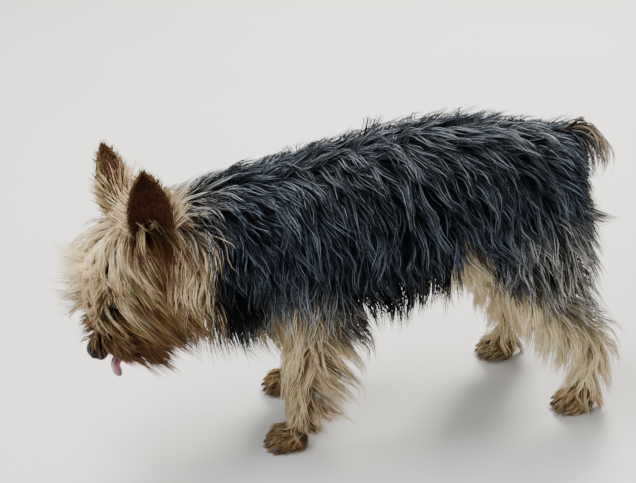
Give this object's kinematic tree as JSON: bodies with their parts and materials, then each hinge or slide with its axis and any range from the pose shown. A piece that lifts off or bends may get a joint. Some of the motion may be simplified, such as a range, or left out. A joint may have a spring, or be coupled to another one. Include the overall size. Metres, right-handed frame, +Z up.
{
  "type": "yorkshire terrier",
  "caption": "Life-size still model of a small long-coated terrier, standing with its head lowered as when it drinks.",
  "frame": {"origin": "centre of the bounding box's bottom face, on the floor under the body", "axes": "+X towards the tail, so the head points to -X; +Y to the dog's right side; +Z up"},
  "size_m": [0.4173, 0.1377, 0.2449],
  "materials": {
    "coat_steel": "long glossy steel-grey hair",
    "coat_tan": "long soft tan hair",
    "ear_hair": "short dark brown hair",
    "nose_leather": "moist black",
    "eye_gloss": "wet dark brown",
    "tongue_flesh": "wet pink",
    "claw_horn": "dark horn"
  },
  "bodies": {
    "root": {"head": "coat_tan", "muzzle": "coat_tan", "lower_jaw": "coat_tan", "nose": "nose_leather", "tongue": "tongue_flesh", "eye_left": "eye_gloss", "ear_left": "ear_hair", "eye_right": "eye_gloss", "ear_right": "ear_hair", "beard": "coat_tan", "cheeks": "coat_tan", "neck": "coat_steel", "chest": "coat_steel", "barrel": "coat_steel", "rump": "coat_steel", "tail": "coat_steel", "front_left_paw": "coat_tan", "front_left_forearm": "coat_tan", "front_left_upper_arm": "coat_steel", "front_left_claw_1": "claw_horn", "front_left_claw_2": "claw_horn", "front_left_claw_3": "claw_horn", "front_left_claw_4": "claw_horn", "front_right_paw": "coat_tan", "front_right_forearm": "coat_tan", "front_right_upper_arm": "coat_steel", "front_right_claw_1": "claw_horn", "front_right_claw_2": "claw_horn", "front_right_claw_3": "claw_horn", "front_right_claw_4": "claw_horn", "hind_left_paw": "coat_tan", "hind_left_hock": "coat_tan", "hind_left_shank": "coat_tan", "hind_left_thigh": "coat_steel", "hind_left_claw_1": "claw_horn", "hind_left_claw_2": "claw_horn", "hind_left_claw_3": "claw_horn", "hind_left_claw_4": "claw_horn", "hind_right_paw": "coat_tan", "hind_right_hock": "coat_tan", "hind_right_shank": "coat_tan", "hind_right_thigh": "coat_steel", "hind_right_claw_1": "claw_horn", "hind_right_claw_2": "claw_horn", "hind_right_claw_3": "claw_horn", "hind_right_claw_4": "claw_horn"}
  },
  "joints": []
}
